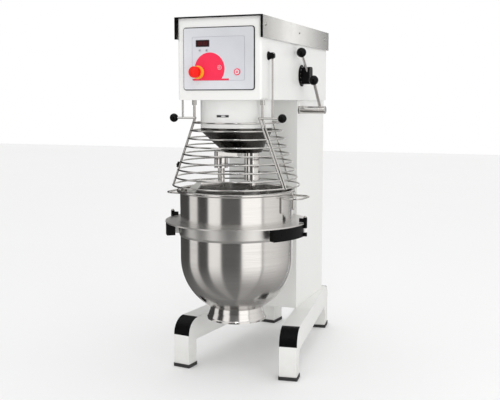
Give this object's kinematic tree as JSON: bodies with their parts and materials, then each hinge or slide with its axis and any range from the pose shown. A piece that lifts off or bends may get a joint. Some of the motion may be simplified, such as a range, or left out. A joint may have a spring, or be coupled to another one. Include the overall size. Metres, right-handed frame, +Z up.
{
  "type": "commercial stand mixer",
  "caption": "Floor-standing planetary stand mixer with a lifting steel bowl, a swing-up wire guard, a front control panel, and side levers for lift and speed.",
  "frame": {"origin": "middle of the machine's outline at floor level", "axes": "+Z up, +X to the machine's right, -Y towards the user at the front"},
  "size_m": [0.6042, 1.1165, 1.42],
  "materials": {
    "white_paint": "semi-gloss powder coat",
    "white_panel": "semi-gloss powder coat",
    "black_plastic": "satin moulded",
    "black_ball": "glossy phenolic",
    "rubber": "moulded rubber",
    "belt_rubber": "cloth-faced rubber",
    "lid_steel": "brushed",
    "bowl_steel": "satin polished, turned",
    "ring_steel": "satin",
    "wire_steel": "bright electropolished",
    "polished_steel": "ground and polished",
    "planet_metal": "polished dark",
    "cast_aluminium": "tumbled casting",
    "gear_steel": "machined, oiled",
    "grey_iron": "as cast",
    "motor_paint": "machine enamel",
    "panel_silver": "silver satin",
    "gasket": "moulded",
    "foil_grey": "satin polyester foil",
    "display_glass": "dark red window",
    "tile_red": "printed foil",
    "key_grey": "printed key",
    "estop_red": "moulded",
    "estop_yellow": "moulded",
    "box_grey": "moulded",
    "nylon": "machined nylon"
  },
  "bodies": {
    "stand": {"leg_left": "white_paint", "leg_right": "white_paint", "leg_covers": "black_plastic", "foot_pads": "rubber", "base_plate": "white_paint", "column": "white_paint", "column_back": "white_panel", "head_casing": "white_paint", "head_front": "white_paint", "lid": "lid_steel", "beater_housing": "white_paint", "ring_gear": "gear_steel", "main_bearings": "gear_steel", "guard_rear": "wire_steel", "guard_bushes": "black_plastic", "panel_plate": "panel_silver", "panel_gasket": "gasket", "panel_foil": "foil_grey", "display": "display_glass", "red_tile": "tile_red", "estop_collar": "estop_yellow", "control_box": "box_grey", "speed_dial": "black_plastic", "lift_bushes": "polished_steel", "motor": "motor_paint", "motor_mount": "grey_iron", "drive_belt": "belt_rubber", "guide_rods": "polished_steel", "cable_gland": "black_plastic"},
    "guard": {"guard_front": "wire_steel", "guard_knobs": "black_ball"},
    "bowl_carriage": {"carriage": "grey_iron", "fork": "white_paint", "lift_rack": "gear_steel", "bowl": "bowl_steel", "bowl_ring": "ring_steel", "bowl_handles": "wire_steel", "bowl_foot": "bowl_steel"},
    "clamp_left": {"clamp_left": "black_plastic"},
    "clamp_right": {"clamp_right": "black_plastic"},
    "lift_lever": {"lift_shaft": "polished_steel", "lift_sector": "gear_steel", "lift_handle": "polished_steel", "lift_ball": "black_ball"},
    "speed_lever": {"speed_hub": "black_plastic", "speed_rod": "polished_steel", "speed_ball": "black_ball"},
    "planet": {"planet_head": "planet_metal", "main_shaft": "polished_steel", "main_pulley": "grey_iron", "scraper_post": "polished_steel", "scraper_blade": "nylon"},
    "tool": {"tool_shaft": "polished_steel", "beater": "cast_aluminium"},
    "rotor": {"motor_rotor": "polished_steel"},
    "estop": {"estop_button": "estop_red"},
    "start": {"start_key": "tile_red"},
    "stop": {"stop_key": "tile_red"},
    "timer_up": {"timer_up_key": "key_grey"},
    "timer_down": {"timer_down_key": "key_grey"}
  },
  "joints": [
    {"name": "guard_swing", "type": "hinge", "parent": "stand", "child": "guard", "pos_m": [0, -0.37249, 1.275], "axis": [-1, 0, 0], "range_deg": [0, 100]},
    {"name": "bowl_lift", "type": "slide", "parent": "stand", "child": "bowl_carriage", "axis": [0, 0, 1], "range_m": [-0.14, 0]},
    {"name": "lift_lever_turn", "type": "hinge", "parent": "stand", "child": "lift_lever", "pos_m": [0, 0.06251, 1.069], "axis": [1, 0, 0], "range_deg": [-89.2, 0]},
    {"name": "speed_lever_turn", "type": "hinge", "parent": "stand", "child": "speed_lever", "pos_m": [0, 0.04551, 1.213], "axis": [1, 0, 0], "range_deg": [-95, 0]},
    {"name": "planet_spin", "type": "hinge", "parent": "stand", "child": "planet", "pos_m": [0, -0.27249, 1], "axis": [0, 0, 1], "continuous": true},
    {"name": "tool_spin", "type": "hinge", "parent": "planet", "child": "tool", "pos_m": [0.066, -0.27249, 1], "axis": [0, 0, 1], "continuous": true},
    {"name": "motor_spin", "type": "hinge", "parent": "stand", "child": "rotor", "pos_m": [0, 0.28751, 1.36], "axis": [0, 0, 1], "continuous": true},
    {"name": "clamp_left_swing", "type": "hinge", "parent": "bowl_carriage", "child": "clamp_left", "pos_m": [-0.288, -0.26849, 0.604], "axis": [0, 0, -1], "range_deg": [0, 75]},
    {"name": "clamp_right_swing", "type": "hinge", "parent": "bowl_carriage", "child": "clamp_right", "pos_m": [0.288, -0.26849, 0.604], "axis": [0, 0, 1], "range_deg": [0, 75]},
    {"name": "estop_press", "type": "slide", "parent": "stand", "child": "estop", "axis": [0, 1, 0], "range_m": [0, 0.0045], "stiffness_N_per_m": 600},
    {"name": "start_press", "type": "slide", "parent": "stand", "child": "start", "axis": [0, 1, 0], "range_m": [0, 0.0008], "stiffness_N_per_m": 400},
    {"name": "stop_press", "type": "slide", "parent": "stand", "child": "stop", "axis": [0, 1, 0], "range_m": [0, 0.0008], "stiffness_N_per_m": 400},
    {"name": "timer_up_press", "type": "slide", "parent": "stand", "child": "timer_up", "axis": [0, 1, 0], "range_m": [0, 0.0008], "stiffness_N_per_m": 200},
    {"name": "timer_down_press", "type": "slide", "parent": "stand", "child": "timer_down", "axis": [0, 1, 0], "range_m": [0, 0.0008], "stiffness_N_per_m": 200}
  ],
  "couplings": [
    {"joint": "lift_lever_turn", "follows": "bowl_lift", "rad_per_m": 11.111},
    {"joint": "tool_spin", "follows": "planet_spin", "ratio": -3},
    {"joint": "motor_spin", "follows": "planet_spin", "ratio": 3.9286}
  ]
}
